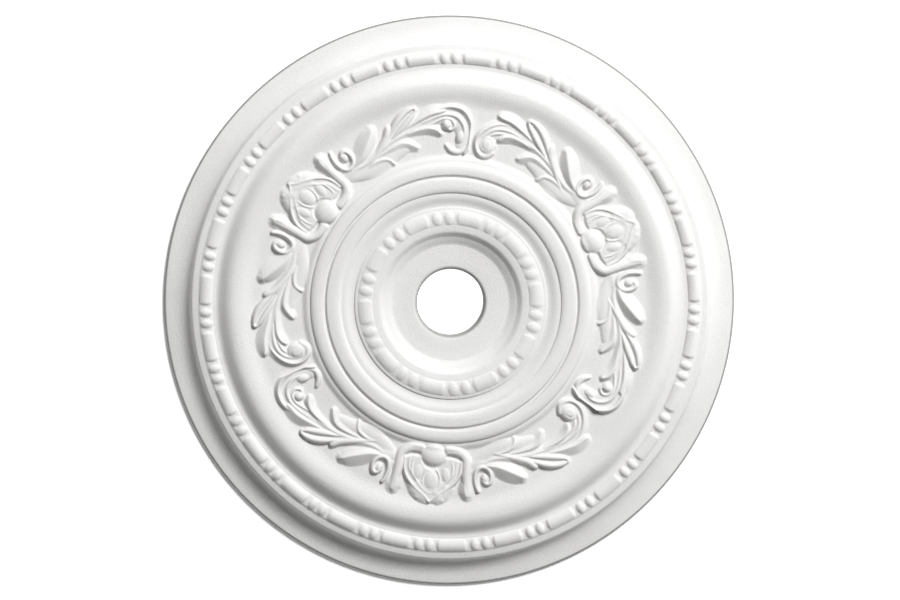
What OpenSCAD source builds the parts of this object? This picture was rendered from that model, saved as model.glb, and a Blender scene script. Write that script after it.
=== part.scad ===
// Ceiling rose: one round casting with a flat back, turned mouldings, two bead-and-bar
// rings and a band of three roses joined by pairs of acanthus scrolls.
// The origin is the centre of the flat back, and +Z points out of the ornamented face.

/* [Overall] */
// Outer diameter of the rim
outer_d = 600; // [480:5:720]
// Diameter of the hole for the lamp wire and hook
hole_d = 70; // [50:1:90]
// Thickness of the rim at its edge
rim_t = 3.5; // [2:0.5:6]

/* [Widths of the mouldings, from the rim in. They stretch together to fill the rose] */
// Narrow flat at the very edge of the rim
rim_w = 2; // [1:0.5:6]
// Cove that rises from the rim
cove_w = 26; // [18:0.5:36]
// Fillet that ends the cove
fillet_w = 8; // [4:0.5:12]
// Seat of the outer bead ring
bead_seat_w = 14.5; // [12:0.5:20]
// Valley inside the outer bead ring
valley_w = 5.5; // [3:0.5:10]
// Slope from the valley up to the crest
rise_w = 18; // [12:0.5:26]
// Slope from the crest down to the field
fall_w = 21.5; // [14:0.5:30]
// Flat field that the leaves stand on
field_w = 48; // [38:1:60]
// Two small steps up from the field to the half-round rings
step_w = 11; // [7:0.5:16]
// Outer half-round ring
ring_out_w = 14; // [10:0.5:20]
// Inner half-round ring
ring_in_w = 15; // [10:0.5:20]
// Ogee that falls from the inner ring to the hollow
ogee_w = 12; // [8:0.5:18]
// Hollow between the rings and the inner bead ring
hollow_w = 11; // [6:0.5:16]
// Seat of the inner bead ring
inner_seat_w = 14; // [12:0.5:20]
// Steps from the inner bead ring down to the disc
well_w = 18; // [12:0.5:24]
// Flat disc around the hole
disc_w = 26.5; // [16:0.5:36]

/* [Heights above the back] */
// Top of the fillet that ends the cove
fillet_z = 23; // [18:0.5:28]
// Seat of the outer bead ring
bead_seat_z = 25.5; // [20:0.5:30]
// Top of the round crest outside the leaf band
crest_z = 36.5; // [32:0.5:44]
// Field that the leaves stand on
field_z = 32; // [27:0.5:38]
// Top of the two half-round rings
ring_z = 40; // [36:0.5:48]
// Bottom of the hollow between the rings and the inner bead ring
hollow_z = 34; // [28:0.5:40]
// Seat of the inner bead ring
inner_seat_z = 35; // [29:0.5:42]
// Disc around the hole
disc_z = 24.5; // [18:0.5:30]

/* [Bead rings] */
// Groups of two beads and a bar in the outer ring
outer_groups = 27; // [18:3:30]
// Groups of two beads and a bar in the inner ring
inner_groups = 10; // [6:1:11]
// Radius of the outer beads and bars
outer_bead_r = 4.75; // [3.5:0.25:5.75]
// Radius of the inner beads and bars
inner_bead_r = 4.5; // [3.5:0.25:5.5]
// Gap between neighbours in a bead ring
bead_gap = 1.5; // [1:0.1:3]

/* [Leaf band] */
// Height of the leaves above the field
leaf_h = 6; // [4:0.25:7.5]
// Radius of the round knob at the foot of each rose
knob_r = 11; // [9:0.25:13.5]
// Radius of the eye of each large scroll
eye_r = 6; // [5:0.25:7.5]

/* [Hidden] */

plaster = "whitesmoke";
rose_count = 3;      // roses around the band
rose_turn = 360 / rose_count;
lip = 4;             // rounding of the hole's front edge
ease = 0.8;          // slant that lets an upright edge leave the mould
dish = 0.6;          // rise of the disc from the hole out to its edge
dip = 0.5;           // depth of the valley below the outer bead seat
groove = 0.3;        // depth of the groove between the half-round rings, of their height
sink = 3;            // how deep a raised shape reaches into what carries it
bead_sink = 0.75;    // how far a bead's middle lies below its seat
// Stepped slopes, as shares of their width and of their height from the foot.
well_line = [[0.06, 0.15], [0.42, 0.4], [0.53, 0.5], [0.72, 0.86], [0.82, 0.97]];
step_line = [[0.36, 0.1], [0.68, 0.54], [0.86, 0.61]];
outer_r = outer_d / 2;
hole_r = hole_d / 2;

// How far the named widths stretch to fill the space between the hole and the rim.
widths = [rim_w, cove_w, fillet_w, bead_seat_w, valley_w, rise_w, fall_w, field_w,
          step_w, ring_out_w, ring_in_w, ogee_w, hollow_w, inner_seat_w, well_w, disc_w];
function total(list, n) = n == 0 ? 0 : list[n - 1] + total(list, n - 1);
stretch = (outer_r - hole_r) / total(widths, len(widths));
// Radius of the inner edge of the first n mouldings, counted from the rim.
function edge(n) = outer_r - stretch * total(widths, n);

rim_r = edge(1);
cove_r = edge(2);
fillet_r = edge(3);
seat_r = edge(4);
valley_r = edge(5);
crest_r = edge(6);
field_out_r = edge(7);
field_in_r = edge(8);
step_r = edge(9);
ring_mid_r = edge(10);
ogee_out_r = edge(11);
ogee_in_r = edge(12);
hollow_r = edge(13);
inner_seat_r = edge(14);
disc_r = edge(15);
outer_ring_r = (fillet_r + seat_r) / 2;
inner_ring_r = (hollow_r + inner_seat_r) / 2;

// An arc of the turned profile: its centre, its radii across and up, its two angles.
function arc(c, rx, rz, a, b, n = 5) =
    [for (i = [0:n]) let (t = a + (b - a) * i / n) [c[0] + rx * cos(t), c[1] + rz * sin(t)]];

// A smooth rise or fall from p to q, level at both ends, without p and q themselves.
function slope(p, q, n = 5) =
    [for (i = [1:n - 1]) let (t = i / n)
        [p[0] + (q[0] - p[0]) * t, p[1] + (q[1] - p[1]) * (1 - cos(180 * t)) / 2]];

// A point on the curve that a list of control points draws.
function curve(p, t) = len(p) == 1 ? p[0] :
    curve([for (i = [0:len(p) - 2]) p[i] * (1 - t) + p[i + 1] * t], t);

// The flat place of [degrees from the rose's middle, mm out from the field's inner edge].
function place(p) = let (r = field_in_r + p[1] * stretch) [r * cos(p[0]), r * sin(p[0])];

// The points of a stepped slope whose foot is p and whose top is q.
function between(p, q, line) =
    [for (share = line) [p[0] + (q[0] - p[0]) * share[0], p[1] + (q[1] - p[1]) * share[1]]];

// The turned profile, from the hole's front edge out to the rim.
function profile() = let (
        groove_z = ring_z - (ring_z - field_z) * groove,
        ring_h = ring_z - groove_z,
        cove_z = fillet_z - 2 * ease)
    concat(
        [[hole_r, 0]],
        arc([hole_r + lip, disc_z - lip], lip, lip, 180, 90, 4),
        // up two steps from the disc to the seat of the inner bead ring
        [[disc_r, disc_z + dish]],
        between([disc_r, disc_z + dish], [inner_seat_r, inner_seat_z], well_line),
        [[inner_seat_r, inner_seat_z], [hollow_r, inner_seat_z]],
        // the hollow, and the ogee up to the inner half-round ring
        slope([hollow_r, inner_seat_z], [ogee_in_r, hollow_z], 3),
        [[ogee_in_r, hollow_z]],
        slope([ogee_in_r, hollow_z], [ogee_out_r, groove_z], 5),
        arc([(ring_mid_r + ogee_out_r) / 2, groove_z], ring_in_w * stretch / 2, ring_h, 180, 0, 8),
        arc([(step_r + ring_mid_r) / 2, groove_z], ring_out_w * stretch / 2, ring_h, 180, 0, 8),
        // down two small steps to the field, which runs flat out to the crest
        [for (i = [len(step_line) - 1:-1:0])
            between([field_in_r, field_z], [step_r, groove_z], step_line)[i]],
        [[field_in_r, field_z], [field_out_r, field_z]],
        slope([field_out_r, field_z], [crest_r, crest_z], 6),
        [[crest_r, crest_z]],
        slope([crest_r, crest_z], [valley_r, bead_seat_z - dip], 7),
        // the valley, the outer bead seat and the fillet
        [[valley_r, bead_seat_z - dip], [seat_r, bead_seat_z], [fillet_r - 2 * ease, bead_seat_z],
         [fillet_r, fillet_z], [cove_r - ease, fillet_z - ease]],
        // the cove: a quarter of an ellipse, upright at the fillet and level at the rim
        arc([rim_r, cove_z], rim_r - cove_r, cove_z - rim_t, 180, 270, 9),
        [[outer_r, rim_t - ease / 2], [outer_r, 0]]);

module body() {
    rotate_extrude($fn = 180) polygon(profile());
}

// A ring of groups, each two round beads and a long bar.
module bead_ring(ring_r, seat_z, bead_r, groups) {
    pitch = 360 / groups;
    bead_step = (2 * bead_r + bead_gap) / ring_r * 180 / PI;
    bar_turn = pitch - 2 * bead_step - bead_gap / ring_r * 180 / PI;
    for (i = [0:groups - 1]) rotate(i * pitch) {
        for (side = [-1, 1]) rotate(side * bead_step / 2)
            translate([ring_r, 0, seat_z - bead_sink]) sphere(r = bead_r, $fn = 24);
        rotate(pitch / 2 - bar_turn / 2) rotate_extrude(angle = bar_turn, $fn = 180)
            polygon(concat([[ring_r - bead_r, seat_z - sink]],
                           arc([ring_r, seat_z - bead_sink], bead_r, bead_r, 180, 0, 6),
                           [[ring_r + bead_r, seat_z - sink]]));
    }
}

// A raised leaf or stem along a curve: its width grows to the middle and closes at the tip.
// route holds [degrees, mm] points, and rise is a share of the leaves' height.
module leaf(route, width, rise = 1, base = 0.5, tip = 0.4, n = 4) {
    side = [-1, -0.6, 0, 0.6, 1];
    lift = [-sink, 0.7, 1, 0.7, -sink];
    rings = [for (i = [0:n]) let (
            t = i / n,
            p = place(curve(route, t)),
            ahead = place(curve(route, t + 0.02)) - place(curve(route, t - 0.02)),
            across = [-ahead[1], ahead[0]] / norm(ahead),
            full = sin(180 * pow(t, 1.2)),
            w = width * stretch / 2 * (full + (1 - full) * (t < 0.5 ? base : tip)),
            h = leaf_h * rise * (0.75 + 0.25 * full))
        for (k = [0:4])
            [p[0] + across[0] * w * side[k], p[1] + across[1] * w * side[k],
             lift[k] < 0 ? lift[k] : lift[k] * h]];
    walls = [for (i = [0:n - 1], k = [0:4]) let (a = 5 * i + k, b = 5 * i + (k + 1) % 5)
        [a, b, b + 5, a + 5]];
    polyhedron(points = rings, convexity = 4,
               faces = concat(walls, [[for (k = [4:-1:0]) k]], [[for (k = [0:4]) 5 * n + k]]));
}

// A low round boss, such as a seed or a petal's heart.
module boss(at, across, along, height) {
    p = place(at);
    rows = [[1, -sink / height], [1, 0.25], [0.75, 0.75], [0.35, 1]];
    n = 8;
    polyhedron(points = [for (row = rows, k = [0:n - 1]) let (a = 360 * k / n)
                   let (x = row[0] * along / 2 * cos(a), y = row[0] * across / 2 * sin(a))
                   [p[0] + x * cos(at[0]) - y * sin(at[0]), p[1] + x * sin(at[0]) + y * cos(at[0]),
                    height * row[1]]],
               faces = concat([[for (k = [0:n - 1]) k]],
                              [for (j = [0:2], k = [0:n - 1]) let (m = (k + 1) % n)
                                  [n * j + k, n * (j + 1) + k, n * (j + 1) + m, n * j + m]],
                              [[for (k = [n - 1:-1:0]) 3 * n + k]]));
}

// The knob and the two curled corners at the foot of a rose: place, radius, depth of its middle.
module rose_foot() {
    for (foot = [[[0, 6], knob_r, knob_r / 3], [[8.4, 0], knob_r / 2, 0], [[-8.4, 0], knob_r / 2, 0]])
        translate([place(foot[0])[0], place(foot[0])[1], field_z - foot[2] * stretch])
            sphere(r = foot[1] * stretch, $fn = 32);
}

// One rose: its cup, seed, nested arches and curled petals.
module rose() {
    boss([0, 27], 60 * stretch, 64 * stretch, 0.45 * leaf_h);
    boss([0, 32], 15 * stretch, 18 * stretch, leaf_h);
    leaf([[0, 43], [0, 61]], 20, 1, 0.7, 0.6, 3);
    for (side = [1, -1]) {
        leaf([[3.6 * side, 40], [6 * side, 57]], 17, 0.9, 0.7, 0.6, 3);
        leaf([[5 * side, 15], [8 * side, 32], [0.7 * side, 44]], 7, 0.9);
        leaf([[9 * side, 2], [9.4 * side, 30], [1.5 * side, 53]], 9, 0.9);
        leaf([[11.8 * side, -2], [8.6 * side, 26], [11.6 * side, 56]], 13, 1, 0.8, 0.6);
    }
}

// One branch: it leaves the foot of a rose and ends in a large scroll half way to the next.
module branch() {
    leaf([[13, 8], [28, 18], [40, 36], [54, 30]], 32, 0.45, 0.5, 0.5);
    leaf([[12, 6], [24, 5], [31, 24], [44, 29]], 14, 0.7, 0.9, 0.4);
    leaf([[17, 12], [26, 18], [29.6, 51]], 19, 1);
    leaf([[25, 18], [32, 28], [34.4, 46]], 11, 0.8);
    leaf([[28, 20], [37, 28], [42.4, 54]], 18, 1);
    leaf([[33, 25], [42, 56], [57, 58], [59.1, 27]], 17, 1, 0.5, 0.7, 6);
    leaf([[58.6, 36], [60, 2], [53.6, -5], [48.8, 9]], 11, 0.85, 0.8, 0.6, 5);
    leaf([[30, 18], [40, 29], [50, 32], [50.6, 17]], 11, 0.85);
    leaf([[22, 8], [30, 17], [33, 0]], 14, 0.8);
    leaf([[30, 16], [40, 25], [42.8, 2]], 14, 0.8);
    boss([53.7, 15], 2 * eye_r * stretch, 2 * eye_r * stretch, leaf_h);
    // the small scroll beside the rose
    leaf([[14.6, 51], [12.8, 22], [20, 16], [19.8, 38]], 7, 0.8, 0.8, 0.6, 5);
    boss([17, 38], 9 * stretch, 11 * stretch, 0.8 * leaf_h);
}

// The leaves are brought to their named height, and stand on the field.
module leaf_band() {
    for (i = [0:rose_count - 1]) rotate(i * rose_turn) {
        rose_foot();
        translate([0, 0, field_z]) resize([0, 0, leaf_h + sink]) {
            rose();
            branch();
            mirror([0, 1, 0]) branch();
        }
    }
}

module ceiling_rose() {
    color(plaster) {
        body();
        bead_ring(outer_ring_r, bead_seat_z, outer_bead_r, outer_groups);
        bead_ring(inner_ring_r, inner_seat_z, inner_bead_r, inner_groups);
        leaf_band();
    }
}

ceiling_rose();
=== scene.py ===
"""A plaster ceiling rose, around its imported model.

The turned mouldings are one body. The leaf band is modelled as one cell, with a rose in its
middle and a branch that ends in a scroll on either side, and is laid down three times. The
beads and bars of each bead ring are one sheet of clay, laid on its seat.
"""

import math

import bpy
import numpy as np
from mathutils import Matrix, Vector


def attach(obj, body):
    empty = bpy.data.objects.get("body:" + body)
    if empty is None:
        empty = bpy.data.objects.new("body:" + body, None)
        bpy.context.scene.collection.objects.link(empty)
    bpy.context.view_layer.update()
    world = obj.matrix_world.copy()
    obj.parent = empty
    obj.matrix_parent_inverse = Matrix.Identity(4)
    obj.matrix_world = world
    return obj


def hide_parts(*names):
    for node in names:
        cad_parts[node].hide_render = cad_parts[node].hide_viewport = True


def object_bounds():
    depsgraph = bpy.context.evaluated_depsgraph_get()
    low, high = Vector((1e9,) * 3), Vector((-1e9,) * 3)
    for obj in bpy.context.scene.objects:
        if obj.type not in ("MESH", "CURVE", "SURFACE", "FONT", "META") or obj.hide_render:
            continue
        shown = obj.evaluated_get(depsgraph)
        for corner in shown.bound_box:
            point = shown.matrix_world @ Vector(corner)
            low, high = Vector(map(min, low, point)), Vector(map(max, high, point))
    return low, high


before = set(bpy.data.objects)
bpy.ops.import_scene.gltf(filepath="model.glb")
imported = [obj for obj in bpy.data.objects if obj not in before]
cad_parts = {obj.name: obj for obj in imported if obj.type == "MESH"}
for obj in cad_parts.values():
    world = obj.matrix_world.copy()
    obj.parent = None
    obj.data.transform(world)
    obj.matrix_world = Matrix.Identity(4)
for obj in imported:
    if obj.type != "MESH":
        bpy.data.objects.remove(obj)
cad_low, cad_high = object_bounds()

MM = 0.001
ROSES = 3
CELL_TURN = 2 * math.pi / ROSES

# ---- turned mouldings: radii and heights in mm ------------------------------------------------
OUTER_R = (cad_high[0] - cad_low[0]) / 2 / MM
HOLE_R, LIP = 35.0, 4.5
DISC_MID_R, DISC_R, DISC_Z = 48.0, 62.4, 24.5
# the stepped well: shares of its width and of its height
WELL_STEPS = [(0.06, 0.1), (0.2, 0.24), (0.4, 0.4), (0.48, 0.45), (0.58, 0.6), (0.78, 0.9),
              (0.9, 0.98)]
INNER_SEAT_R, SEAT_EDGE_R, INNER_SEAT_Z = 77.0, 98.8, 35.0
# the inner seat is a slight crown: how far its middle lies below, its reach past the edges,
# and its rise
SEAT_DROP, SEAT_SPREAD, SEAT_RISE = 5.4, 10.0, 6.4
HOLLOW_R, HOLLOW_Z = 101.4, 33.6
OGEE_TOP_R, OGEE_Z = 112.4, 36.6
RING_IN_R, RING_IN_TOP_R = 115.2, 122.4
GROOVE_R, GROOVE_Z, GROOVE_W, GROOVE_LIP_Z = 131.9, 36.0, 2.3, 39.3
RING_OUT_TOP_R, RING_OUT_R, RING_FOOT_Z, RING_Z = 139.2, 146.8, 35.7, 40.0
STEP_R, FIELD_IN_R, FIELD_OUT_R, FIELD_Z = 149.0, 156.2, 203.0, 32.0
FIELD_DIP_R, FIELD_DIP = 190.0, 0.1
CREST_R, CREST_Z = 224.2, 36.5
VALLEY_R, VALLEY_Z = 245.2, 25.0
SEAT_R, FILLET_R, BEAD_SEAT_Z = 249.5, 264.0, 25.5
COVE_R, FILLET_Z = 270.8, 23.4
# the cove, from under the fillet to the rim
COVE_LINE = [(271.2, 21.4), (272.0, 17.6), (273.7, 14.3), (276.4, 11.5), (279.8, 9.1),
             (283.8, 7.2), (288.0, 5.9), (292.2, 5.0), (296.2, 4.35)]
RIM_T = 3.5
BACK_BEVEL = 0.6
CORNER = 0.7  # how far the turned corners are rubbed back
TURN_STEPS = 360
# under the leaf band the turned body drops into a bed, so that the two never share a surface
BED_IN, BED_OUT, BED_DEPTH = RING_OUT_R + 0.5, VALLEY_R - 0.3, 2.5

# ---- relief of the leaf band -------------------------------------------------------------------
BAND_R = 186.0  # where the band's pieces are measured from, unless a piece says otherwise
UNDER = -9.0  # a height that never shows, for places outside a piece
FAR = 1e9  # farther off than any place on the bench
SOFT = 0.5  # how softly two pieces of clay meet
RUBS = 3  # how often the finished relief is rubbed down


def through_points(route, count, closed=False):
    """Points on a smooth line that passes through every point of the route."""
    p = np.array(route, float)
    n = len(p)
    spans = n if closed else n - 1
    out = []
    for i in range(spans):
        if closed:
            a, b, c, d = p[i - 1], p[i], p[(i + 1) % n], p[(i + 2) % n]
        else:
            a, b, c, d = p[max(i - 1, 0)], p[i], p[i + 1], p[min(i + 2, n - 1)]
        t = np.linspace(0, 1, max(count // spans, 2), endpoint=False)[:, None]
        out.append(
            0.5 * (2 * b + (c - a) * t + (2 * a - 5 * b + 4 * c - d) * t**2
                   + (3 * b - a - 3 * c + d) * t**3)
        )
    line = np.vstack(out)
    return line if closed else np.vstack([line, p[-1]])


def from_crest(s, lean):
    """How far a place is from a leaf's crest, as a share of the way to its edge. s runs from
    -1 at one edge to 1 at the other, and the crest stands at lean."""
    return np.abs(np.where(s > lean, (s - lean) / (1 - lean), (s - lean) / (1 + lean)))


def round_section(s, lean):
    return np.clip(1 - from_crest(s, lean) ** 2.4, 0, None) ** 0.72


def ridge_section(s, lean):
    a = from_crest(s, lean)
    inside = np.clip(1 - a, 0, None)
    return (1 - np.clip(a, 0, 1) ** 1.25) * (1 + 0.25 * inside) / 1.25


def folded_section(s, lean):
    """Two raised edges with a hollow between them."""
    a = np.abs(s)
    rim = np.clip(1 - np.clip(np.abs((a - 0.5) / 0.5), 0, 1) ** 2.2, 0, None) ** 0.75
    hollow = np.clip(1 - a, 0, 1) ** 0.5 * 0.5
    return np.maximum(rim, hollow * (a < 1))


SECTIONS = {"round": round_section, "ridge": ridge_section, "folded": folded_section}


class Clay:
    """A field of clay over one cell: heights in mm above the field, at polar grid points."""

    def __init__(self, radius, angle):
        self.x = radius * np.cos(angle)
        self.y = radius * np.sin(angle)
        self.height = np.zeros_like(self.x)
        self.turn(0, BAND_R)

    def turn(self, degrees, radius):
        """Sets the bench frame: x runs along the band, y outwards, from a point on the band."""
        self.angle, self.radius = math.radians(degrees), radius

    def bench(self, pick=None):
        """Grid points in the bench frame."""
        c, s = math.cos(self.angle), math.sin(self.angle)
        gx, gy = (self.x, self.y) if pick is None else (self.x[pick], self.y[pick])
        return -gx * s + gy * c, gx * c + gy * s - self.radius

    def window(self, low, high):
        """The grid points of the bench frame inside a box."""
        u, v = self.bench()
        return (u > low[0]) & (u < high[0]) & (v > low[1]) & (v < high[1])

    def lay(self, pick, height, soft=SOFT):
        """Adds clay where it stands higher than what is there, with a soft meeting line."""
        old = self.height[pick]
        mix = np.clip(0.5 + 0.5 * (height - old) / soft, 0, 1)
        self.height[pick] = old + (height - old) * mix + soft * mix * (1 - mix) * 0.5

    def cut(self, pick, depth):
        """Takes clay away."""
        self.height[pick] = np.maximum(self.height[pick] - depth, 0)

    def leaf(self, line, width, rise, section="round", foot=0.4, tip=0.5, belly=0.55,
             lean=0.0, droop=0.75, start=0.5, cutting=False, soft=SOFT):
        """A raised lobe along a line. width and rise are its largest; foot and tip are shares of
        the width at its ends; lean moves the crest sideways; droop and start are shares of the
        rise at the tip and the foot."""
        line = np.asarray(line)
        pick = self.window(line.min(0) - width, line.max(0) + width)
        u, v = self.bench(pick)
        spans = len(line) - 1
        best = np.full(u.shape, FAR)
        along = np.zeros_like(u)
        side = np.zeros_like(u)
        for i in range(spans):
            a, b = line[i], line[i + 1]
            d = b - a
            size = d @ d
            if size == 0:
                continue
            t = np.clip(((u - a[0]) * d[0] + (v - a[1]) * d[1]) / size, 0, 1)
            du, dv = u - a[0] - t * d[0], v - a[1] - t * d[1]
            far = du * du + dv * dv
            near = far < best
            best = np.where(near, far, best)
            along = np.where(near, (i + t) / spans, along)
            side = np.where(near, np.sign(d[0] * dv - d[1] * du), side)
        # how far along the rise to the belly, and the fall from it to the tip
        growing = np.sin(math.pi / 2 * along / belly)
        fading = np.cos(math.pi / 2 * (along - belly) / (1 - belly))
        swell = np.where(along < belly, foot + (1 - foot) * growing,
                         tip + (1 - tip) * np.clip(fading, 0, 1) ** 0.8)
        fall = np.where(along < belly, start + (1 - start) * growing,
                        droop + (1 - droop) * fading)
        s = side * np.sqrt(best) / (width / 2 * swell)
        form = SECTIONS[section](s, lean)
        height = rise * fall * form
        if cutting:
            self.cut(pick, height)
        else:
            self.lay(pick, np.where(form > 0, height, UNDER), soft)

    def pad(self, outline, rise, edge, crown=0.0):
        """A raised plate with a bevelled edge inside a closed outline."""
        outline = np.asarray(outline)
        pick = self.window(outline.min(0) - 1, outline.max(0) + 1)
        u, v = self.bench(pick)
        best = np.full(u.shape, FAR)
        inside = np.zeros(u.shape, bool)
        count = len(outline)
        for i in range(count):
            a, b = outline[i], outline[(i + 1) % count]
            d = b - a
            t = np.clip(((u - a[0]) * d[0] + (v - a[1]) * d[1]) / max(d @ d, 1e-9), 0, 1)
            best = np.minimum(best, (u - a[0] - t * d[0]) ** 2 + (v - a[1] - t * d[1]) ** 2)
            cross = (a[1] > v) != (b[1] > v)
            with np.errstate(divide="ignore", invalid="ignore"):
                inside ^= cross & (u < (b[0] - a[0]) * (v - a[1]) / (b[1] - a[1]) + a[0])
        deep = np.sqrt(best)
        form = np.sin(math.pi / 2 * np.clip(deep / edge, 0, 1)) ** 0.85
        height = rise * form + crown * (1 - np.exp(-deep / (2.5 * edge)))
        self.lay(pick, np.where(inside, height, UNDER))

    def boss(self, at, across, along, rise, turn=0.0, power=2.0, base=0.0, fullness=0.5):
        """A round or egg-shaped lump."""
        reach = max(across, along)
        pick = self.window((at[0] - reach, at[1] - reach), (at[0] + reach, at[1] + reach))
        u, v = self.bench(pick)
        c, s = math.cos(math.radians(turn)), math.sin(math.radians(turn))
        p = ((u - at[0]) * c + (v - at[1]) * s) / (across / 2)
        q = (-(u - at[0]) * s + (v - at[1]) * c) / (along / 2)
        a = np.sqrt(p * p + q * q)
        form = np.clip(1 - a**power, 0, None) ** fullness
        self.lay(pick, np.where(a < 1, base + rise * form, UNDER))


def on_side(side, route):
    """A route as drawn for side 1, or its mirror image for side -1."""
    return [(side * x, y) for x, y in route]


def model_rose(clay):
    """The rose: a cup with a seed and buds under pointed arches, petals behind it, a curled
    flare on each side and a round knob at the foot."""
    clay.turn(0, BAND_R)
    # two petals behind the cup, the right one over the left
    fan = [(-24, 4), (-23, 14), (-19, 20), (-11, 25), (-3, 27), (3, 25.5), (10, 26.5), (17, 23),
           (22, 17), (24, 4), (0, -8)]
    clay.pad(through_points(fan, 120, closed=True), 4.6, 8.0, crown=0.6)
    clay.leaf(through_points([(2, 8), (7, 14), (12, 19)], 20), 16, 5.6, "round", foot=0.8,
              tip=0.7, start=0.7, droop=0.85)
    clay.leaf(through_points([(-3, 10), (-8, 15), (-12, 18)], 20), 15, 5.2, "round", foot=0.8,
              tip=0.7, start=0.7, droop=0.85)
    # the cup
    half = [(0, 24), (9, 18), (19, 10), (27, 1), (31, -12), (32, -24), (26, -32), (10, -34)]
    outline = half + on_side(-1, half[:0:-1])
    clay.pad(through_points(outline, 120, closed=True), 3.4, 5.0, crown=1.0)
    for side in (1, -1):
        arch = on_side(side, [(29.5, -22), (29, -8), (23, 3), (12.5, 12.5), (5, 18), (0, 23.5)])
        clay.leaf(through_points(arch, 48), 4.8, 5.7, "round", foot=0.7, tip=0.8,
                  start=0.75, droop=0.95)
        inner = on_side(side, [(25, -24), (24, -10), (18, -1), (10.5, 8), (5, 12.5), (0, 15)])
        clay.leaf(through_points(inner, 44), 3.8, 5.4, "round", foot=0.7, tip=0.8,
                  start=0.8, droop=1.0)
        crescent = on_side(side, [(19, -22), (21.4, -14), (20.5, -5), (15.5, 3)])
        clay.leaf(through_points(crescent, 30), 3.2, 5.4, "round", foot=0.5, tip=0.5,
                  start=0.8, droop=0.9)
        clay.boss((side * 14.6, -6.5), 9.5, 17, 2.3, turn=-side * 12, base=3.3)
        stalk = on_side(side, [(8.6, 6), (9.2, 0), (6.6, -8), (3, -12)])
        clay.leaf(through_points(stalk, 24), 2.6, 5.7, "round", foot=0.7, tip=0.7,
                  start=0.9, droop=0.9)
    clay.boss((0, 0.8), 14.6, 20, 2.8, base=3.6, power=2.2)
    # curled flares, running down into the lip of the cup
    for side in (1, -1):
        flare = on_side(side, [(39, 12), (37.6, 4), (36, -6), (35, -16), (33.4, -25),
                               (26, -30.5), (14, -31)])
        clay.leaf(through_points(flare, 60), 11, 6.0, "round", foot=0.9, tip=0.95, belly=0.62,
                  start=0.9, droop=0.9, lean=0.1 * side)
        lobe = on_side(side, [(36.5, -8), (37.5, 3), (39.5, 12)])
        clay.leaf(through_points(lobe, 30), 19, 6.2, "ridge", foot=0.4, tip=0.85, belly=0.8,
                  start=0.7, droop=0.95, lean=0.2 * side)
        slit = on_side(side, [(29, -22.5), (21, -25.5), (14, -25)])
        clay.leaf(through_points(slit, 20), 5, 3.0, foot=0.5, tip=0.7, start=0.4, droop=0.9,
                  cutting=True)
    clay.leaf(through_points([(-12, -20), (-7, -14), (0, -12), (7, -14), (12, -20)], 30),
              5, 2.0, foot=0.4, tip=0.4, start=0.4, droop=0.4, cutting=True)
    clay.boss((0, -25), 29, 24, 8.4, power=2.2, fullness=0.6)


def model_branch(clay, side):
    """A branch that grows from the foot of the rose and curls up half way to the next one. It
    ends in the tight scroll on side 1, and in the open one on side -1."""

    def line(points, count=40):
        return through_points(on_side(side, points), count)

    # small curl beside the rose
    clay.turn(side * 17, 187)
    curl = [(-8, 13), (-9.4, 7), (-9, -2), (-5, -10), (1.5, -11.5), (7, -7), (8, 0), (5.5, 6),
            (1.5, 6.5), (-1, 3)]
    clay.leaf(line([(-14, -16), (-4, -15), (6, -13), (12, -8)]), 15, 3.4, "round", foot=0.7)
    clay.leaf(line(curl, 80), 6.0, 5.4, "round", foot=0.7, tip=0.8, belly=0.4, start=0.8,
              droop=0.8)
    clay.boss((side * 1.0, 1.0), 8.5, 11, 4.8)
    # the broad stem and its plate
    clay.turn(side * 33, 184)
    plate = [(-58, -20), (-46, -23.5), (-30, -25.5), (-14, -23), (0, -18), (12, -16)]
    clay.leaf(line(plate, 60), 17, 3.2, "round", foot=0.8, tip=0.7, start=0.5, droop=0.8, soft=1.2)
    spine = [(-60, -16), (-46, -18), (-32, -17), (-17, -11), (0, -5), (16, -2), (30, -1)]
    clay.leaf(line(spine, 60), 14, 4.4, "ridge", foot=0.9, tip=0.6, start=0.5, droop=0.8, soft=1.0)
    # leaves on the outer side
    clay.leaf(line([(-44, -14), (-34, -7), (-24, 4), (-15.5, 13.5)], 50), 22, 8.0,
              "ridge", foot=0.5, tip=0.62, belly=0.62, start=0.55, droop=0.85, lean=-0.15 * side)
    clay.leaf(line([(-30, -22), (-17, -11.5), (-3, 0.5), (2.2, 9)], 50), 9, 5.6,
              "round", foot=0.35, tip=0.8, belly=0.78, start=0.6, droop=0.9)
    clay.leaf(line([(0, -2), (10, 5.5), (22, 13), (34, 18)], 50), 17, 6.2, "folded",
              foot=0.25, tip=0.45, belly=0.6, start=0.6, droop=0.85)
    # leaflets on the inner side
    clay.leaf(line([(-33, -24), (-21, -20.5), (-10.5, -21.5), (-5, -27)], 40), 12, 4.9,
              "ridge", foot=0.4, tip=0.6, belly=0.6, start=0.6, droop=0.85, lean=0.3 * side)
    clay.leaf(line([(-16, -15.5), (-2, -13), (12, -12.5), (23, -20)], 40), 15, 5.2,
              "ridge", foot=0.4, tip=0.6, belly=0.62, start=0.6, droop=0.85, lean=0.3 * side)
    # the upper leaf and the lobe that lie over the scroll's foot
    clay.turn(side * 55, 184)
    clay.leaf(line([(-50, -1), (-38, 8), (-26, 15), (-14, 17.5)], 60), 15, 6.4, "ridge",
              foot=0.4, tip=0.75, belly=0.7, start=0.6, droop=0.95, lean=-0.35 * side)
    lobe = [(-50, -10), (-40, -6), (-29, -3.5), (-21, -4.5), (-16, -7.5)]
    clay.leaf(line(lobe, 60), 13, 6.0, "ridge", foot=0.4, tip=0.6, belly=0.7, start=0.6,
              droop=0.95, lean=0.2 * side)
    if side > 0:
        model_small_scroll(clay, line)
    else:
        model_large_scroll(clay, line)


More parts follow.
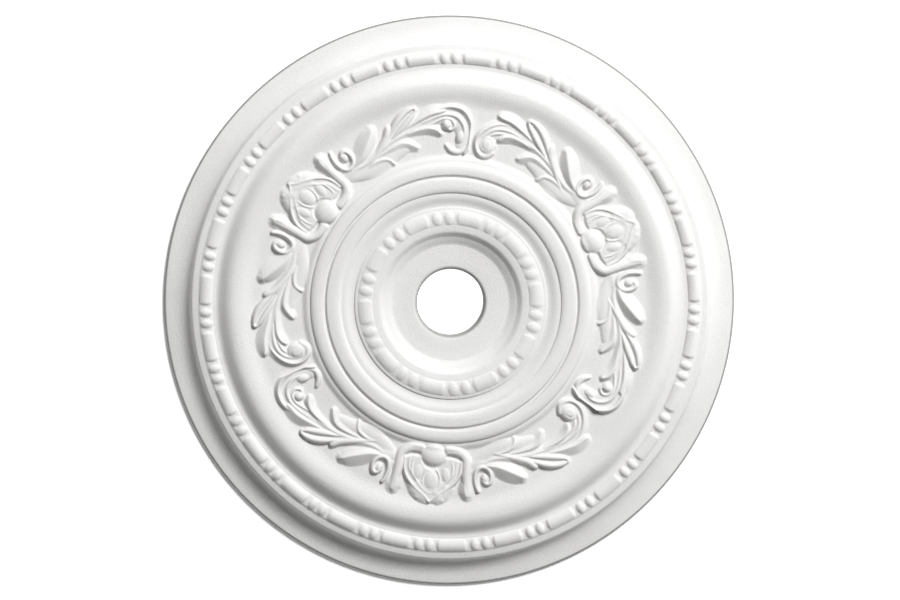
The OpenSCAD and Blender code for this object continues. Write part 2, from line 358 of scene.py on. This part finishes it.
def model_small_scroll(clay, line):
    """The tight scroll: strands that run down into a rolled end."""
    clay.leaf(line([(-52, -6), (-36, 2), (-20, 4), (-9, 1), (-1, -6), (1, -13)], 60), 22, 3.0,
              "round", foot=0.6, tip=0.8, start=0.9, droop=0.9, soft=1.0)
    rim = [(-27, 9), (-15, 8.5), (-6, 5), (2, -1.5), (6.5, -9), (7, -17), (3.5, -24), (-3, -27)]
    clay.leaf(line(rim, 90), 9, 5.8, "ridge", foot=0.5, tip=0.7, belly=0.5, start=0.5,
              droop=0.9, lean=0.2)
    for vein, wide in (([(-38, -1), (-26, 3), (-14, 3.5), (-5, -0.5), (1, -8)], 5.0),
                       ([(-22, 0), (-12, -1.5), (-6, -5)], 3.6)):
        clay.leaf(line(vein, 60), wide, 4.9, "round", foot=0.5, tip=0.5, start=0.7, droop=0.8)
    clay.leaf(line([(6, -20), (2, -25.5), (-5, -26.5), (-11, -22)], 40), 8, 4.8, "round",
              foot=0.7, tip=0.7, start=0.8, droop=0.9)
    clay.boss((-4.5, -15.5), 19, 22, 6.4, power=2.4, fullness=0.6)
    eye_line = [(-8, -16), (-7, -10.5), (-2, -9), (1.6, -13), (0.5, -18), (-3.5, -20)]
    clay.leaf(line(eye_line, 50), 2.4, 1.0, "round", cutting=True, start=0.6, droop=0.4)


def model_large_scroll(clay, line):
    """The open scroll: a tall curl like a C, with a ball at the end of its inner strand."""
    clay.leaf(line([(-50, -4), (-34, 5), (-18, 11), (-4, 10), (7, 2), (10.5, -10), (8, -20)], 60),
              21, 3.0, "round", foot=0.6, tip=0.7, start=0.9, droop=0.9, soft=1.0)
    rim = [(-30, 9), (-18, 16.5), (-6, 20), (6, 17.5), (13.5, 9), (16.5, -3), (15, -15), (9.5, -27)]
    clay.leaf(line(rim, 100), 9.5, 6.8, "ridge", foot=0.5, tip=0.5, belly=0.5, start=0.5,
              droop=0.9, lean=-0.2)
    strand = [(-34, 3), (-22, 9), (-10, 12.5), (1, 10.5), (8, 2.5), (9.5, -7), (6.5, -15)]
    clay.leaf(line(strand, 80), 5.2, 5.2, "round", foot=0.5, tip=0.6, start=0.7, droop=0.8)
    inner = [(-30, -1), (-21, 4), (-13, 8), (-5, 7.5), (-1, 2), (-4, -3), (-9, -2)]
    clay.leaf(line(inner, 70), 4.2, 4.8, "round", foot=0.5, tip=0.6, start=0.7, droop=0.8)
    clay.boss((9.2, 2.2), 10.5, 11.5, 6.8)
    clay.boss((-5.5, -10.5), 9.5, 15, 5.4, turn=15)
    foot = [(11, -21), (5, -26), (-3, -25), (-9, -19.5)]
    clay.leaf(line(foot, 40), 7, 4.2, "round", foot=0.6, tip=0.6, start=0.8, droop=0.8)


def smooth(height, passes):
    """Rubs the clay down a little, so that no crest is sharper than a casting's."""
    for _ in range(passes):
        wide = np.pad(height, 1, mode="edge")
        height = (wide[:-2, 1:-1] + wide[2:, 1:-1] + wide[1:-1, :-2] + wide[1:-1, 2:]
                  + 4 * wide[1:-1, 1:-1]) / 8
    return height


def cell_relief(radii, angles):
    """Heights of the leaf band above the field over one cell, at every radius and angle."""
    r, a = np.meshgrid(radii, angles, indexing="ij")
    clay = Clay(r, a)
    model_branch(clay, 1)
    model_branch(clay, -1)
    model_rose(clay)
    return smooth(clay.height, RUBS)


# ---- turned profile ----------------------------------------------------------------------------
def arc(centre, across, up, start, end, count):
    """Points of an arc of an ellipse, from one angle to another in degrees."""
    return [
        (centre[0] + across * math.cos(math.radians(start + (end - start) * i / count)),
         centre[1] + up * math.sin(math.radians(start + (end - start) * i / count)))
        for i in range(count + 1)
    ]


def slope(foot, top, count, shape=1.0):
    """Points of a smooth rise or fall, level at both ends."""
    return [
        (foot[0] + (top[0] - foot[0]) * i / count,
         foot[1] + (top[1] - foot[1]) * (1 - math.cos(math.pi * (i / count) ** shape)) / 2)
        for i in range(count + 1)
    ]


def steps(foot, top, shares):
    """Points between a foot and a top, at shares of the width and of the height."""
    return [(foot[0] + (top[0] - foot[0]) * a, foot[1] + (top[1] - foot[1]) * b)
            for a, b in shares]


def rubbed(points, size):
    """The same line with its corners rubbed round, over size mm on either side."""
    p = [np.array(q, float) for q in points]
    out = [p[0]]
    for before, here, after in zip(p, p[1:], p[2:]):
        a, b = before - here, after - here
        la, lb = np.linalg.norm(a), np.linalg.norm(b)
        bend = math.pi - math.acos(max(-1, min(1, float(a @ b) / (la * lb))))
        if bend < math.radians(12):
            out.append(here)
            continue
        near, far = here + a / la * min(size, la * 0.45), here + b / lb * min(size, lb * 0.45)
        out += [near, (near + 2 * here + far) / 4, far]
    out.append(p[-1])
    return out


def front_line():
    """The turned front, from the hole's wall out to the edge of the rim."""
    line = arc((HOLE_R + LIP, DISC_Z - LIP), LIP, LIP, 180, 90, 6)
    line += [(DISC_MID_R, DISC_Z + 0.15), (DISC_R - 1.5, DISC_Z + 0.4)]
    # up the stepped well to the seat of the inner beads
    line += steps((DISC_R, DISC_Z + 0.6), (INNER_SEAT_R, INNER_SEAT_Z), WELL_STEPS)
    line += arc(((INNER_SEAT_R + SEAT_EDGE_R) / 2, INNER_SEAT_Z - SEAT_DROP),
                (SEAT_EDGE_R - INNER_SEAT_R) / 2 + SEAT_SPREAD, SEAT_RISE, 128, 52, 8)
    line += slope((SEAT_EDGE_R, INNER_SEAT_Z - 0.4), (HOLLOW_R, HOLLOW_Z), 5)
    # out of the hollow to a fillet, and over the two half-round rings
    line += slope((HOLLOW_R + 0.6, HOLLOW_Z), (OGEE_TOP_R, OGEE_Z), 7)
    line += [(OGEE_TOP_R + 0.6, OGEE_Z), (RING_IN_R - 0.4, OGEE_Z + 0.05)]
    line += ring((RING_IN_R, OGEE_Z + 0.2), (GROOVE_R - GROOVE_W, GROOVE_LIP_Z), RING_IN_TOP_R)
    line += [(GROOVE_R, GROOVE_Z)]
    line += ring((GROOVE_R + GROOVE_W, GROOVE_LIP_Z), (RING_OUT_R, RING_FOOT_Z), RING_OUT_TOP_R)
    # down a step to the field
    line += [(RING_OUT_R + 1.2, RING_FOOT_Z - 0.15)]
    line += slope((STEP_R, RING_FOOT_Z - 0.3), (FIELD_IN_R, FIELD_Z), 5)
    line += [(FIELD_DIP_R, FIELD_Z - FIELD_DIP)]
    line += slope((FIELD_OUT_R, FIELD_Z), (CREST_R, CREST_Z), 10)
    line += slope((CREST_R, CREST_Z), (VALLEY_R, VALLEY_Z), 14, 1.4)[1:]
    # seat of the outer beads, fillet, and the cove that runs out to the rim
    line += [(SEAT_R - 0.4, VALLEY_Z + 0.15), (SEAT_R + 0.6, BEAD_SEAT_Z)]
    line += [(FILLET_R - 1.6, BEAD_SEAT_Z), (FILLET_R, FILLET_Z + 0.9)]
    line += [(COVE_R - 1.0, FILLET_Z)]
    line += COVE_LINE
    line += [(OUTER_R - 1.6, RIM_T + 0.35), (OUTER_R - 0.7, RIM_T + 0.2), (OUTER_R, RIM_T - 0.6)]
    return rubbed(line, CORNER)


def ring(foot, end, top_r):
    """A half-round ring: up from its foot to the top, and down to its other side."""
    up = [(top_r + (foot[0] - top_r) * math.cos(t), foot[1] + (RING_Z - foot[1]) * math.sin(t))
          for t in np.linspace(0.12, math.pi / 2, 7)]
    down = [(top_r + (end[0] - top_r) * math.sin(t), end[1] + (RING_Z - end[1]) * math.cos(t))
            for t in np.linspace(0.2, math.pi / 2 - 0.12, 7)]
    return [foot] + up + down + [end]


FRONT = front_line()
FRONT_R = np.array([p[0] for p in FRONT])
FRONT_Z = np.array([p[1] for p in FRONT])
FRONT_ORDER = np.argsort(FRONT_R, kind="stable")


def front_height(radius):
    """Height of the turned front at a radius, in mm."""
    return np.interp(radius, FRONT_R[FRONT_ORDER], FRONT_Z[FRONT_ORDER])


# ---- bench work: small helpers over Blender's own tools ----------------------------------------
MERGE = 2e-6  # points nearer than this, in metres, are one


def rest():
    """Back to object mode, with nothing selected."""
    if bpy.context.object and bpy.context.object.mode != "OBJECT":
        bpy.ops.object.mode_set(mode="OBJECT")
    bpy.ops.object.select_all(action="DESELECT")


def take(piece):
    """Selects one piece alone."""
    rest()
    piece.select_set(True)
    bpy.context.view_layer.objects.active = piece


def named(name):
    """The piece that was just added, under its own name."""
    piece = bpy.context.object
    piece.name = piece.data.name = name
    return piece


def set_places(piece, places):
    """Moves every point of a piece to its place, in metres."""
    piece.data.vertices.foreach_set("co", np.asarray(places, np.float32).ravel())
    piece.data.update()


def close_and_turn_outwards(piece, smooth_angle):
    """Merges a piece's doubles, turns its faces outwards and smooths its gentle bends."""
    take(piece)
    bpy.ops.object.mode_set(mode="EDIT")
    bpy.ops.mesh.select_all(action="SELECT")
    bpy.ops.mesh.remove_doubles(threshold=MERGE)
    bpy.ops.mesh.normals_make_consistent(inside=False)
    bpy.ops.object.mode_set(mode="OBJECT")
    bpy.ops.object.shade_smooth_by_angle(angle=math.radians(smooth_angle))


def copied(piece, name, turn):
    """A copy with its own mesh, turned round the middle."""
    take(piece)
    bpy.ops.object.duplicate(linked=False)
    copy = named(name)
    size = len(copy.data.vertices)
    places = np.empty(size * 3, np.float32)
    copy.data.vertices.foreach_get("co", places)
    places = places.reshape(-1, 3)
    c, s = math.cos(turn), math.sin(turn)
    set_places(copy, np.stack([places[:, 0] * c - places[:, 1] * s,
                               places[:, 0] * s + places[:, 1] * c, places[:, 2]], 1))
    return copy


# ---- the turned body ---------------------------------------------------------------------------
def body_outline():
    """The closed outline of the turned body; under the leaf band it drops into a bed."""
    bed_in_z, bed_out_z = float(front_height(BED_IN)), float(front_height(BED_OUT))
    line = [(HOLE_R, 0.0)] + [p for p in FRONT if p[0] < BED_IN]
    line += [(BED_IN, bed_in_z), (BED_IN + 0.2, bed_in_z - BED_DEPTH)]
    line += [(r, z - BED_DEPTH) for r, z in FRONT if BED_IN + 0.3 < r < BED_OUT - 0.3]
    line += [(BED_OUT - 0.2, bed_out_z - BED_DEPTH), (BED_OUT, bed_out_z)]
    line += [p for p in FRONT if p[0] > BED_OUT]
    line += [(OUTER_R, BACK_BEVEL), (OUTER_R - BACK_BEVEL, 0.0)]
    return line


def make_body():
    """A circle of points bent to the outline, and spun round the middle."""
    outline = body_outline()
    rest()
    bpy.ops.mesh.primitive_circle_add(vertices=len(outline), radius=0.1, fill_type="NOTHING")
    body = named("turned_body")
    set_places(body, [(r * MM, 0, z * MM) for r, z in outline])
    take(body)
    bpy.ops.object.mode_set(mode="EDIT")
    bpy.ops.mesh.select_all(action="SELECT")
    bpy.ops.mesh.spin(steps=TURN_STEPS, angle=2 * math.pi, center=(0, 0, 0), axis=(0, 0, 1))
    bpy.ops.object.mode_set(mode="OBJECT")
    close_and_turn_outwards(body, 35)
    return body


# ---- relief pieces: a sheet of clay bent to the band, closed underneath ------------------------
# the leaf band's grid: its step, and the radius past which it has no leaves and needs few rows
FINE, LEAVES_END_R, CREST_ROWS = 0.6, 218.0, 22
SHEET_T = 4.0
# bead rings: radius of the ring, how many groups of two beads and a bar, the step between the
# two beads, the bar's length, the width across, and the rise
OUTER_BEADS = (255.8, 27, 11.6, 33.5, 13.4, 3.9)
INNER_BEADS = (89.6, 10, 13.0, 28.5, 15.4, 2.3)
BEAD_ROWS, BEAD_FINE, BEAD_SKIRT = 29, 0.8, 0.6


def make_sheet(name, radii, angles, heights, under, closed_ring=False):
    """A sheet with a vertex at every radius and angle, and a floor under it."""
    rows, columns = heights.shape
    rest()
    bpy.ops.mesh.primitive_grid_add(x_subdivisions=columns - 1, y_subdivisions=rows - 1, size=1)
    sheet = named(name)
    r = np.repeat(np.asarray(radii), columns)
    a = np.tile(np.asarray(angles), rows)
    top = np.stack([r * np.cos(a), r * np.sin(a), heights.ravel()], 1) * MM
    set_places(sheet, top)
    take(sheet)
    bpy.ops.object.mode_set(mode="EDIT")
    if closed_ring:
        bpy.ops.mesh.select_all(action="SELECT")
        bpy.ops.mesh.remove_doubles(threshold=MERGE)
    bpy.ops.mesh.select_all(action="DESELECT")
    bpy.ops.mesh.select_mode(type="EDGE")
    bpy.ops.mesh.select_non_manifold(extend=False, use_wire=False, use_boundary=True,
                                     use_multi_face=False, use_non_contiguous=False,
                                     use_verts=False)
    bpy.ops.mesh.extrude_edges_move()
    bpy.ops.object.mode_set(mode="OBJECT")
    for point in sheet.data.vertices:
        if point.select:
            point.co.z = under * MM
    bpy.ops.object.mode_set(mode="EDIT")
    if closed_ring:
        bpy.ops.mesh.bridge_edge_loops()
    else:
        bpy.ops.mesh.edge_face_add()
    bpy.ops.object.mode_set(mode="OBJECT")
    close_and_turn_outwards(sheet, 65)
    return sheet


def make_leaf_cells():
    """The leaf band: one cell with a fine grid under the leaves, and its copies."""
    radii = np.concatenate([[RING_OUT_R + 0.3], np.arange(RING_OUT_R + 0.8, LEAVES_END_R, FINE),
                            np.linspace(LEAVES_END_R, VALLEY_R - 0.1, CREST_ROWS)])
    columns = int(CELL_TURN * BAND_R / FINE) + 1
    angles = np.linspace(-CELL_TURN / 2, CELL_TURN / 2, columns)
    relief = cell_relief(radii, angles)
    heights = front_height(radii)[:, None] + relief
    first = make_sheet("leaf_band_1", radii, angles, heights, VALLEY_Z - SHEET_T)
    return [first] + [copied(first, f"leaf_band_{i + 1}", i * CELL_TURN) for i in range(1, ROSES)]


def bead_relief(along, across, pitch, bead_step, bar, width, rise):
    """Heights of a bead ring: along is the distance from the middle of a pair of beads. Beads
    and bars stand on a low thread that runs on between them."""
    at = np.abs((along + pitch / 2) % pitch - pitch / 2)
    v = np.abs(across) / (width / 2)
    thread = 0.3 * np.clip(1 - v**2, 0, 1) ** 0.8
    u = np.abs(at - bead_step / 2) / (bead_step * 0.46)
    bead = np.clip(1 - (u**2 + v**2), 0, 1) ** 0.75
    reach = np.clip((np.abs(at - pitch / 2) - (bar / 2 - width * 0.3)) / (width * 0.3), 0, None)
    rod = np.clip(1 - (reach**2 + v**2), 0, 1) ** 0.85
    return rise * np.maximum(np.maximum(bead, rod * 0.92), thread)


def make_bead_ring(name, radius, groups, bead_step, bar, width, rise):
    """A ring of beads and bars, with a skirt that sinks just under the seat."""
    reach = width / 2 + BEAD_SKIRT
    radii = np.linspace(radius - reach, radius + reach, BEAD_ROWS)
    pitch = 2 * math.pi * radius / groups
    columns = int(2 * math.pi * radius / BEAD_FINE) + 1
    angles = np.linspace(0, 2 * math.pi, columns)
    r, a = np.meshgrid(radii, angles, indexing="ij")
    relief = smooth(bead_relief(a * radius, r - radius, pitch, bead_step, bar, width, rise), 1)
    edge = np.clip((reach - np.abs(radii - radius)) / 0.5, 0, 1)[:, None]
    heights = front_height(radii)[:, None] + relief + 0.04 * edge - 0.5 * (1 - edge)
    return make_sheet(name, radii, angles, heights, front_height(radius) - SHEET_T,
                      closed_ring=True)


# ---- plaster ------------------------------------------------------------------------------------
class Wire:
    """A node's output that can be written in sums."""

    def __init__(self, shop, socket):
        self.shop, self.socket = shop, socket

    def __add__(self, other):
        return self.shop.sum("ADD", self, other)

    def __sub__(self, other):
        return self.shop.sum("SUBTRACT", self, other)

    def __rsub__(self, other):
        return self.shop.sum("SUBTRACT", other, self)

    def __mul__(self, other):
        return self.shop.sum("MULTIPLY", self, other)

    __radd__, __rmul__ = __add__, __mul__

    def root(self):
        return self.shop.sum("SQRT", self, 0)

    def kept(self):
        """The value kept between 0 and 1."""
        return self.shop.sum("MINIMUM", self.shop.sum("MAXIMUM", self, 0), 1)


class Shop:
    """Builds one material's nodes."""

    def __init__(self, name):
        self.material = bpy.data.materials.new(name)
        self.material.use_nodes = True
        self.nodes = self.material.node_tree.nodes
        self.links = self.material.node_tree.links
        self.nodes.clear()

    def node(self, kind, settings=None, inputs=None):
        """A node of a kind, its settings first, and then the values or links of its sockets."""
        made = self.nodes.new(kind)
        for key, value in (settings or {}).items():
            if key == "stops":
                ramp = made.color_ramp
                for element, (place, colour) in zip(ramp.elements, value):
                    element.position, element.color = place, colour
                for place, colour in value[len(ramp.elements):]:
                    ramp.elements.new(place).color = colour
            else:
                setattr(made, key, value)
        for key, value in (inputs or {}).items():
            if isinstance(value, Wire):
                self.links.new(value.socket, made.inputs[key])
            else:
                made.inputs[key].default_value = value
        return made

    def wire(self, kind, output, settings=None, inputs=None):
        """One output of a new node, ready for sums."""
        return Wire(self, self.node(kind, settings, inputs).outputs[output])

    def sum(self, operation, a, b):
        """A sum of two wires, or of a wire and a number."""
        return self.wire("ShaderNodeMath", 0, {"operation": operation}, {0: a, 1: b})

    def skinned(self, inputs):
        """The finished material, with one skin that takes these values and links."""
        skin = self.node("ShaderNodeBsdfPrincipled", None, inputs)
        out = self.node("ShaderNodeOutputMaterial")
        self.links.new(skin.outputs[0], out.inputs[0])
        return self.material


def noise(shop, where, scale, detail, rough=0.5):
    """A field of soft random patches, scale of them to the metre."""
    return shop.wire("ShaderNodeTexNoise", "Fac", None,
                     {"Vector": where, "Scale": scale, "Detail": detail, "Roughness": rough})


# colours of dry plaster, where it is dullest and where it is brightest, and the painted shade laid
# on the rim's edge and the hole's wall
PLASTER_DULL, PLASTER_BRIGHT = (0.70, 0.695, 0.68, 1), (0.80, 0.798, 0.79, 1)
PAINTED_EDGE_SHADE = (0.3, 0.3, 0.29, 1)
# metres from the middle, and from the back, where the painted shade on the rim and in the hole
# begins, and how fast it darkens
RIM_SHADE_R, RIM_SHADE_Z, THROAT_SHADE_R = 0.2976, 0.0018, 0.0382
RIM_SHADE_BITE_R, RIM_SHADE_BITE_Z, THROAT_SHADE_BITE = 1100, 1500, 400


def plaster():
    """Dry white casting plaster: a matt, faintly mottled skin with a fine sandy grain. Its thin
    rim's front edge and the lip and wall of its hole carry painted shade, a darker colour for their
    shadow."""
    shop = Shop("cast_plaster_white")
    where = shop.wire("ShaderNodeTexCoord", "Object")
    grain = noise(shop, where, 640, 3, 0.6)
    sand = noise(shop, where, 1400, 2)
    patch = noise(shop, where, 9, 4)
    wave = noise(shop, where, 45, 2)
    tone = patch * 0.5 + grain * 0.35 + sand * 0.15
    skin = shop.wire("ShaderNodeValToRGB", "Color",
                     {"stops": [(0.3, PLASTER_DULL), (0.7, PLASTER_BRIGHT)]}, {"Fac": tone})
    apart = shop.node("ShaderNodeSeparateXYZ", None, {"Vector": where}).outputs
    x, y, z = (Wire(shop, apart[axis]) for axis in "XYZ")
    far = (x * x + y * y).root()
    # painted shade: the rim's front edge and the hole's lip and wall are darkened in place of the
    # shadow that falls there
    rim = ((far - RIM_SHADE_R) * RIM_SHADE_BITE_R).kept() * ((z - RIM_SHADE_Z) * RIM_SHADE_BITE_Z).kept()
    throat_shade = ((THROAT_SHADE_R - far) * THROAT_SHADE_BITE).kept()
    colour = shop.wire("ShaderNodeMix", 2, {"data_type": "RGBA"},
                       {0: rim + throat_shade, 6: skin, 7: PAINTED_EDGE_SHADE})
    height = grain * 0.00085 + sand * 0.0005 + wave * 0.0007
    bump = shop.wire("ShaderNodeBump", "Normal", None,
                     {"Height": height, "Strength": 0.55, "Distance": 1.0})
    rough = grain * 0.12 + patch * 0.08 + 0.74
    return shop.skinned({"Base Color": colour, "Roughness": rough, "Normal": bump,
                         "Specular IOR Level": 0.25})


# ---- the piece, put together -------------------------------------------------------------------
white = plaster()
pieces = [make_body()] + make_leaf_cells()
pieces.append(make_bead_ring("bead_ring_outer", *OUTER_BEADS))
pieces.append(make_bead_ring("bead_ring_inner", *INNER_BEADS))
for piece in pieces:
    piece.data.materials.clear()
    piece.data.materials.append(white)
    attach(piece, "root")
    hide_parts("ceiling_rose")

# ---- floor, light and camera: sizes in metres --------------------------------------------------
FLOOR_DROP, PAPER_DROP, PAPER_R = 0.0008, 0.0004, 0.05
FLOOR_GLOW, PAPER_GLOW = 0.14, 1.0
BACKDROP_R, BACKDROP_H = 7.0, 1.7
WHITE = (1.0, 1.0, 1.0, 1)
STUDIO_GLOW = 0.05


def pale(name, glow):
    """Plain white paper, with a little light of its own."""
    return Shop(name).skinned({"Base Color": WHITE, "Roughness": 0.9, "Specular IOR Level": 0.1,
                               "Emission Color": WHITE, "Emission Strength": glow})


rest()
bpy.ops.mesh.primitive_plane_add(size=2.2 * BACKDROP_R, location=(0, 0, -FLOOR_DROP))
floor = named("floor")
floor_white = pale("pale_floor", FLOOR_GLOW)
floor.data.materials.append(floor_white)
# a small sheet under the hole that glows brightly: painted light that fills the floor's shadow seen
# through the hole
rest()
bpy.ops.mesh.primitive_circle_add(vertices=96, radius=PAPER_R, fill_type="NGON",
                                  location=(0, 0, -PAPER_DROP))
paper = named("paper_under_hole")
paper.data.materials.append(pale("glowing_paper", PAPER_GLOW))
# a low wall far off, so that a low view doesn't end in the dark
rest()
bpy.ops.mesh.primitive_cylinder_add(vertices=128, radius=BACKDROP_R, depth=BACKDROP_H,
                                    end_fill_type="NOTHING", location=(0, 0, BACKDROP_H / 2))
backdrop = named("backdrop")
bpy.ops.object.shade_smooth()
backdrop.data.materials.append(floor_white)

# the rose as the camera sees it: turned by VIEW_TURN, with these ways to its right and its top
VIEW_TURN = math.radians(23.7)
right = np.array([math.cos(VIEW_TURN), -math.sin(VIEW_TURN), 0.0])
upward = np.array([math.sin(VIEW_TURN), math.cos(VIEW_TURN), 0.0])
outward = np.array([0.0, 0.0, 1.0])


def lamp(name, turn, rise, distance, size, power):
    """A soft square light, aimed at the middle. turn is from the view's right, in degrees."""
    a, e = math.radians(turn) - VIEW_TURN, math.radians(rise)
    way = np.array([math.cos(a) * math.cos(e), math.sin(a) * math.cos(e), math.sin(e)])
    bpy.ops.object.light_add(type="AREA", location=tuple(way * distance))
    light = bpy.context.object
    light.name = name
    light.data.shape = "SQUARE"
    light.data.size = size
    light.data.energy = power
    light.rotation_mode = "QUATERNION"
    light.rotation_quaternion = Vector(-way).to_track_quat("-Z", "Y")


lamp("key", turn=55, rise=47, distance=6.0, size=1.9, power=468)
world = bpy.data.worlds.new("studio")
bpy.context.scene.world = world
world.use_nodes = True
studio = world.node_tree.nodes["Background"].inputs
studio["Color"].default_value = WHITE
studio["Strength"].default_value = STUDIO_GLOW
bpy.context.scene.view_settings.view_transform = "Standard"

# the camera leans LEAN from straight ahead, towards a way measured from the view's right
LEAN, LEAN_TOWARDS = math.radians(4.48), math.radians(117.1)
DISTANCE = 4.0
AIM_RIGHT, AIM_UP, AIM_OUT = -0.00022, 0.00181, 0.012
VIEW_W = 0.94464  # what the view takes in from side to side, at the aim
SENSOR_W = 36
aim = outward * AIM_OUT + right * AIM_RIGHT + upward * AIM_UP
lean_way = math.cos(LEAN_TOWARDS) * right + math.sin(LEAN_TOWARDS) * upward
eye = aim + DISTANCE * (math.sin(LEAN) * lean_way + math.cos(LEAN) * outward)
look = (aim - eye) / np.linalg.norm(aim - eye)
side_way = right - (right @ look) * look
side_way /= np.linalg.norm(side_way)
top_way = np.cross(side_way, look)
bpy.ops.object.camera_add(location=tuple(eye))
camera = bpy.context.object
camera.rotation_mode = "QUATERNION"
camera.rotation_quaternion = Matrix([*zip(side_way, top_way, -look)]).to_quaternion()
camera.data.sensor_width = SENSOR_W
camera.data.lens = SENSOR_W * DISTANCE / VIEW_W
camera.data.clip_end = 50
bpy.context.scene.camera = camera
